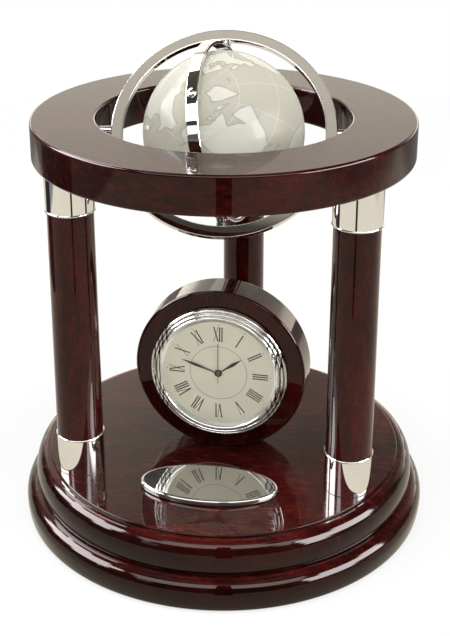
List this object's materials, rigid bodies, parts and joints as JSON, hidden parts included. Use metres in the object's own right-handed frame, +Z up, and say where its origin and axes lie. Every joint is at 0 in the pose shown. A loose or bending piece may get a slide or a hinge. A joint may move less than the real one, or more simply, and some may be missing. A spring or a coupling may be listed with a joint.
{
  "type": "desk clock",
  "caption": "Crystal globe in gimbal rings inside a lacquered wooden ring on columns, over a drum-shaped quartz clock on a stepped round base with an oval engraving plate.",
  "frame": {"origin": "centre of the felt's underside, where the base rests on a desk", "axes": "+Z up; -Y to the front, where the dial faces; +X to the right as the dial is read"},
  "size_m": [0.2138, 0.2138, 0.2507],
  "materials": {
    "rosewood": "clear high-gloss lacquer over red-brown rosewood",
    "chrome": "polished",
    "steel": "plain",
    "brass": "plain",
    "crystal": "polished crystal with etched land",
    "lens_glass": "polished clear",
    "dial_face": "matt cream",
    "black_plastic": "moulded",
    "white_plastic": "moulded",
    "rubber": "matt black",
    "felt": "dark green felt",
    "green_board": "printed circuit board",
    "copper_wire": "enamelled copper winding",
    "hand_black": "black painted",
    "silver_hand": "thin bright needle"
  },
  "bodies": {
    "base": {"base_felt": "felt", "base_plinth": "rosewood", "base_deck": "rosewood", "case_screw": "steel", "column_shaft_left": "rosewood", "lower_ferrule_left": "chrome", "upper_ferrule_left": "chrome", "column_bolt_left": "steel", "bolt_nut_left": "steel", "column_shaft_right": "rosewood", "lower_ferrule_right": "chrome", "upper_ferrule_right": "chrome", "column_bolt_right": "steel", "bolt_nut_right": "steel", "column_shaft_rear": "rosewood", "lower_ferrule_rear": "chrome", "upper_ferrule_rear": "chrome", "column_bolt_rear": "steel", "bolt_nut_rear": "steel", "top_ring": "rosewood", "ring_pin_right": "chrome", "ring_pin_left": "chrome", "clock_case": "rosewood", "plate_pad": "rubber", "engraving_plate": "chrome"},
    "outer_ring": {"outer_gimbal_ring": "chrome", "inner_ring_pin_upper": "chrome", "inner_ring_pin_lower": "chrome"},
    "inner_ring": {"inner_gimbal_ring": "chrome", "globe_pin_front": "chrome", "globe_pin_rear": "chrome"},
    "globe": {"globe": "crystal"},
    "insert": {"bezel": "chrome", "lens": "lens_glass", "reflector_ring": "chrome", "dial": "dial_face", "movement_cup": "black_plastic", "gasket": "rubber", "movement_case": "black_plastic", "train_plate": "white_plastic", "movement_cover": "black_plastic", "stator": "steel", "coil": "copper_wire", "circuit_board": "green_board", "quartz_crystal": "steel", "battery": "steel", "battery_top_contact": "brass", "battery_side_contact": "brass"},
    "hour": {"hour_wheel": "white_plastic", "hour_hand": "hand_black"},
    "minute": {"minute_pinion": "brass", "minute_hand": "hand_black"},
    "minute_wheel": {"minute_wheel": "white_plastic"},
    "setting_knob": {"setting_knob": "white_plastic"},
    "second": {"second_wheel": "white_plastic", "second_hand": "silver_hand"},
    "third_wheel": {"third_wheel": "white_plastic"},
    "centre_wheel": {"centre_wheel": "white_plastic"},
    "intermediate_wheel": {"intermediate_wheel": "white_plastic"},
    "rotor": {"rotor": "steel"}
  },
  "joints": [
    {"name": "outer_ring_spin", "type": "hinge", "parent": "base", "child": "outer_ring", "pos_m": [0, 0, 0.20611], "axis": [0.9962, 0.0872, 0], "continuous": true},
    {"name": "inner_ring_spin", "type": "hinge", "parent": "outer_ring", "child": "inner_ring", "pos_m": [0, 0, 0.20611], "axis": [-0.0576, 0.6588, 0.7501], "continuous": true},
    {"name": "globe_spin", "type": "hinge", "parent": "inner_ring", "child": "globe", "pos_m": [0, 0, 0.20611], "axis": [-0.2287, -0.7401, 0.6324], "continuous": true},
    {"name": "insert_slide", "type": "slide", "parent": "base", "child": "insert", "axis": [-0.0767, -0.9971, 0], "range_m": [0, 0.03]},
    {"name": "minute_spin", "type": "hinge", "parent": "insert", "child": "minute", "pos_m": [-0.00074, -0.01167, 0.0792], "axis": [0.0767, 0.9971, 0], "continuous": true},
    {"name": "hour_spin", "type": "hinge", "parent": "insert", "child": "hour", "pos_m": [-0.00074, -0.01167, 0.0792], "axis": [0.0767, 0.9971, 0], "continuous": true},
    {"name": "minute_wheel_spin", "type": "hinge", "parent": "insert", "child": "minute_wheel", "pos_m": [-0.00785, -0.00917, 0.0834], "axis": [0.0767, 0.9971, 0], "continuous": true},
    {"name": "setting_knob_spin", "type": "hinge", "parent": "insert", "child": "setting_knob", "pos_m": [-0.01212, -0.00307, 0.09159], "axis": [0.0767, 0.9971, 0], "continuous": true},
    {"name": "second_spin", "type": "hinge", "parent": "insert", "child": "second", "pos_m": [-0.00074, -0.01167, 0.0792], "axis": [0.0767, 0.9971, 0], "continuous": true},
    {"name": "third_wheel_spin", "type": "hinge", "parent": "insert", "child": "third_wheel", "pos_m": [-0.00032, -0.00619, 0.08838], "axis": [0.0767, 0.9971, 0], "continuous": true},
    {"name": "centre_wheel_spin", "type": "hinge", "parent": "insert", "child": "centre_wheel", "pos_m": [-0.00074, -0.01167, 0.0792], "axis": [0.0767, 0.9971, 0], "continuous": true},
    {"name": "intermediate_wheel_spin", "type": "hinge", "parent": "insert", "child": "intermediate_wheel", "pos_m": [0.00288, -0.00373, 0.07401], "axis": [0.0767, 0.9971, 0], "continuous": true},
    {"name": "rotor_spin", "type": "hinge", "parent": "insert", "child": "rotor", "pos_m": [0.00983, -0.00461, 0.07401], "axis": [0.0767, 0.9971, 0], "continuous": true}
  ],
  "couplings": [
    {"joint": "minute_wheel_spin", "follows": "minute_spin", "ratio": -0.33333},
    {"joint": "hour_spin", "follows": "minute_spin", "ratio": 0.083333},
    {"joint": "setting_knob_spin", "follows": "minute_spin", "ratio": 0.66667},
    {"joint": "third_wheel_spin", "follows": "second_spin", "ratio": -0.13333},
    {"joint": "centre_wheel_spin", "follows": "second_spin", "ratio": 0.016667},
    {"joint": "intermediate_wheel_spin", "follows": "second_spin", "ratio": -5},
    {"joint": "rotor_spin", "follows": "second_spin", "ratio": 30}
  ]
}
